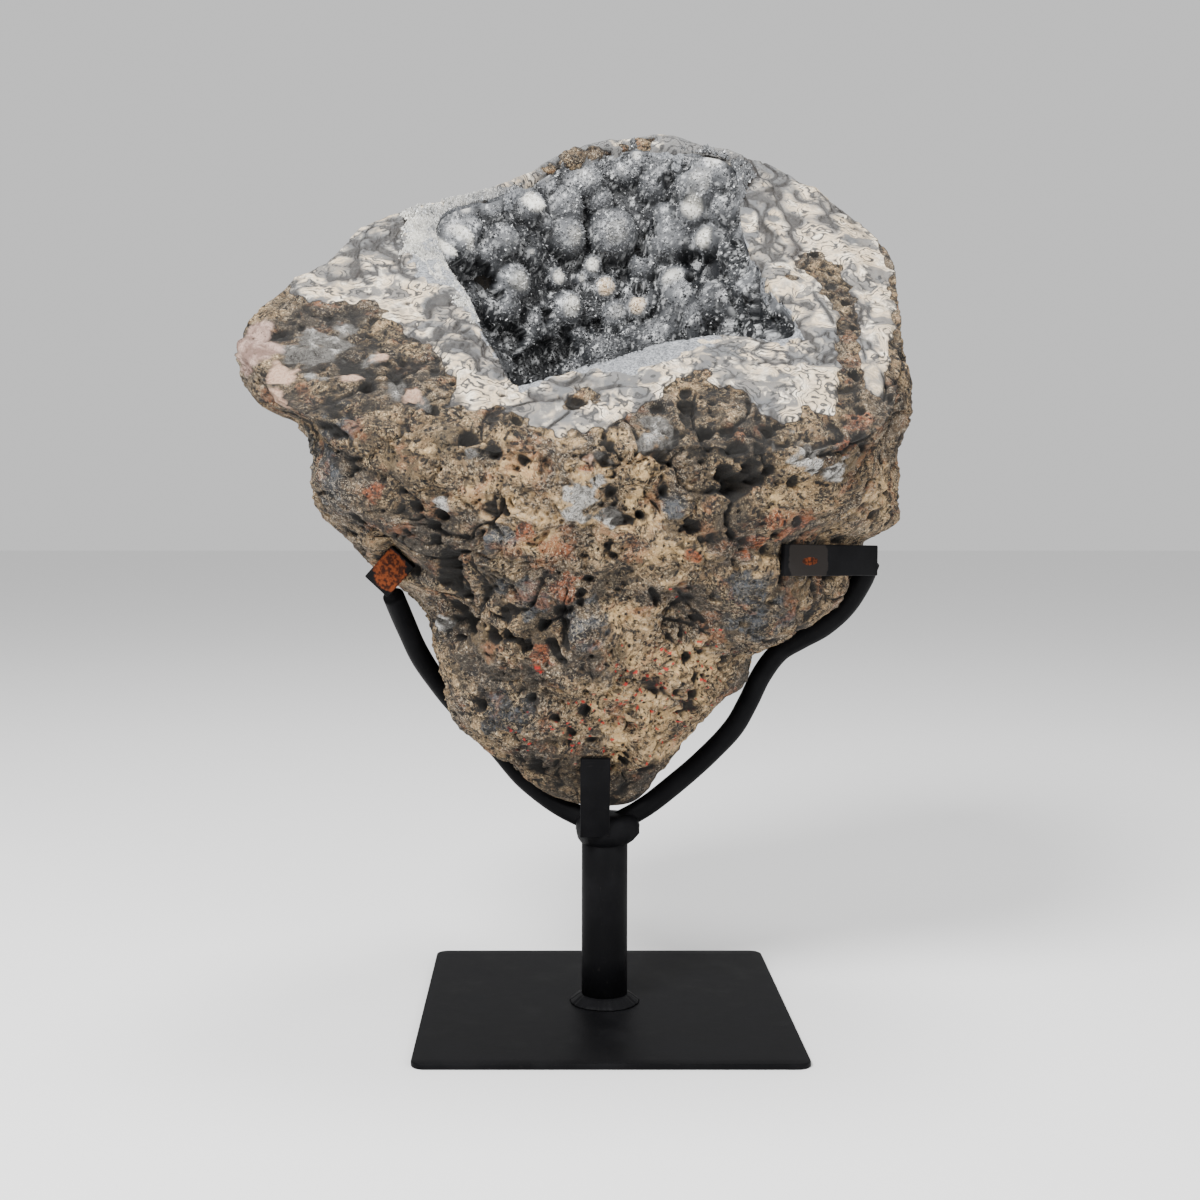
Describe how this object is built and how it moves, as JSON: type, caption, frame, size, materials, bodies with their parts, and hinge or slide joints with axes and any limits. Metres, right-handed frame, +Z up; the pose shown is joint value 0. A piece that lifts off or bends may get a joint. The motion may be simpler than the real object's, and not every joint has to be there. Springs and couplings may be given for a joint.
{
  "type": "agate geode on stand",
  "caption": "Half geode of banded agate with a cut rim and a deep crystal-lined hollow, cradled by two bent rods and a prong on a round post with a square base plate.",
  "frame": {"origin": "middle of the base plate's underside, below the post", "axes": "+Z up along the post, +X to the right of someone who looks at the hollow, +Y to the back"},
  "size_m": [0.3564, 0.2514, 0.5049],
  "materials": {
    "rock": "rough volcanic rind round a polished cream agate band",
    "druse": "sparkling grey quartz crystals",
    "black_steel": "matt black with burnt spots"
  },
  "bodies": {
    "root": {"geode": "rock", "druzy_crust": "druse", "base_plate": "black_steel", "post": "black_steel", "foot_weld": "black_steel", "left_arm": "black_steel", "right_arm": "black_steel", "left_tab": "black_steel", "right_tab": "black_steel", "front_prong": "black_steel", "top_weld": "black_steel"}
  },
  "joints": []
}
